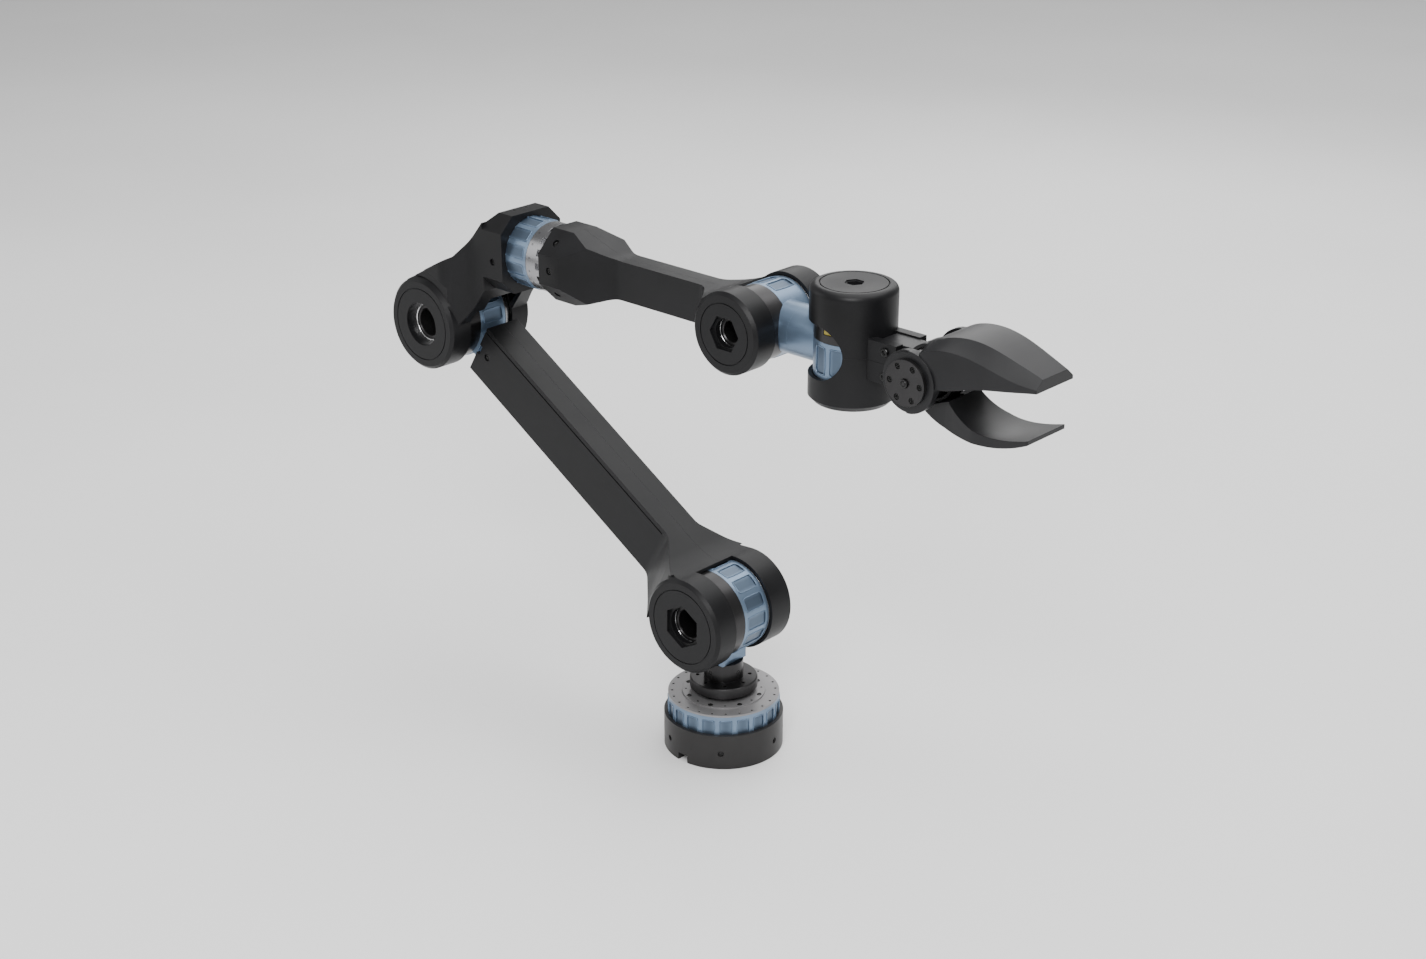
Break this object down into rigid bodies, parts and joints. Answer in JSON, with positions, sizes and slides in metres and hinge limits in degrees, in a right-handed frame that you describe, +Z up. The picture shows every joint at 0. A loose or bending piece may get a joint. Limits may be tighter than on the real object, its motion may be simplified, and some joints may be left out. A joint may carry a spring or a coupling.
{
  "type": "robot arm with gripper",
  "caption": "Jointed table robot arm: round base, tilting upper arm, rolling forearm, two-axis wrist and a two-jaw gripper.",
  "frame": {"origin": "centre of the bolt circle on the base's mounting face", "axes": "+Z up out of the base, +X forward to the gripper, -Y the side of the joint rings"},
  "size_m": [0.6055, 0.092, 0.3976],
  "materials": {
    "shell_black": "satin",
    "jaw_black": "satin, light sheen",
    "dark_metal": "black anodised, satin",
    "blue_anodised": "steel-blue anodised",
    "ring_steel": "turned",
    "bearing_steel": "ground",
    "pale_metal": "bead-blasted",
    "connector_yellow": "moulded"
  },
  "bodies": {
    "base": {"base_cup": "shell_black", "base_actuator_housing": "dark_metal", "base_actuator_band": "blue_anodised", "base_actuator_cap": "dark_metal"},
    "shoulder": {"base_output_flange": "dark_metal", "stem_socket": "dark_metal", "shoulder_housing": "dark_metal", "shoulder_band": "blue_anodised", "shoulder_shaft": "dark_metal"},
    "upper_arm": {"shoulder_output_ring": "ring_steel", "shoulder_bearing": "bearing_steel", "upper_arm_near_shell": "shell_black", "upper_arm_far_shell": "shell_black", "elbow_housing": "dark_metal", "elbow_band": "blue_anodised", "elbow_shaft": "dark_metal"},
    "elbow": {"elbow_output_ring": "ring_steel", "elbow_bearing": "bearing_steel", "elbow_near_cover": "shell_black", "elbow_far_cover": "shell_black", "roll_housing": "dark_metal", "roll_band": "blue_anodised"},
    "forearm": {"roll_output_ring": "ring_steel", "coupling_plate": "dark_metal", "forearm_near_shell": "shell_black", "forearm_far_shell": "shell_black", "wrist_pitch_output_ring": "ring_steel", "wrist_pitch_bearing": "bearing_steel"},
    "wrist": {"wrist_pitch_housing": "dark_metal", "wrist_pitch_band": "blue_anodised", "wrist_pitch_shaft": "dark_metal", "wrist_yaw_housing": "dark_metal", "wrist_yaw_band": "blue_anodised", "wrist_yaw_shaft": "dark_metal", "wrist_yaw_connector": "connector_yellow"},
    "hand": {"wrist_yaw_output_ring": "ring_steel", "wrist_yaw_bearing": "bearing_steel", "wrist_upper_housing": "shell_black", "wrist_lower_housing": "shell_black", "lower_jaw": "jaw_black", "gripper_motor": "dark_metal", "gripper_motor_plate": "pale_metal"},
    "jaw": {"gripper_output_ring": "ring_steel", "gripper_flange": "dark_metal", "gripper_bearing": "bearing_steel", "upper_jaw": "jaw_black"}
  },
  "joints": [
    {"name": "base_yaw", "type": "hinge", "parent": "base", "child": "shoulder", "pos_m": [0, 0, 0.0491], "axis": [0, 0, 1], "range_deg": [-150, 150]},
    {"name": "shoulder_pitch", "type": "hinge", "parent": "shoulder", "child": "upper_arm", "pos_m": [0, 0, 0.1141], "axis": [0, 1, 0], "range_deg": [-28, 132]},
    {"name": "elbow_pitch", "type": "hinge", "parent": "upper_arm", "child": "elbow", "pos_m": [-0.28458, 0, 0.28509], "axis": [0, -1, 0], "range_deg": [-15, 140]},
    {"name": "forearm_roll", "type": "hinge", "parent": "elbow", "child": "forearm", "pos_m": [-0.19458, 0, 0.35309], "axis": [1, 0, 0], "range_deg": [-160, 160]},
    {"name": "wrist_pitch", "type": "hinge", "parent": "forearm", "child": "wrist", "pos_m": [0.04042, 0, 0.35309], "axis": [0, 1, 0], "range_deg": [-85, 75]},
    {"name": "wrist_yaw", "type": "hinge", "parent": "wrist", "child": "hand", "pos_m": [0.11892, 0, 0.34809], "axis": [0, 0, 1], "range_deg": [-75, 75]},
    {"name": "jaw", "type": "hinge", "parent": "hand", "child": "jaw", "pos_m": [0.19192, 0, 0.35309], "axis": [0, 1, 0], "range_deg": [-65, 20]}
  ]
}
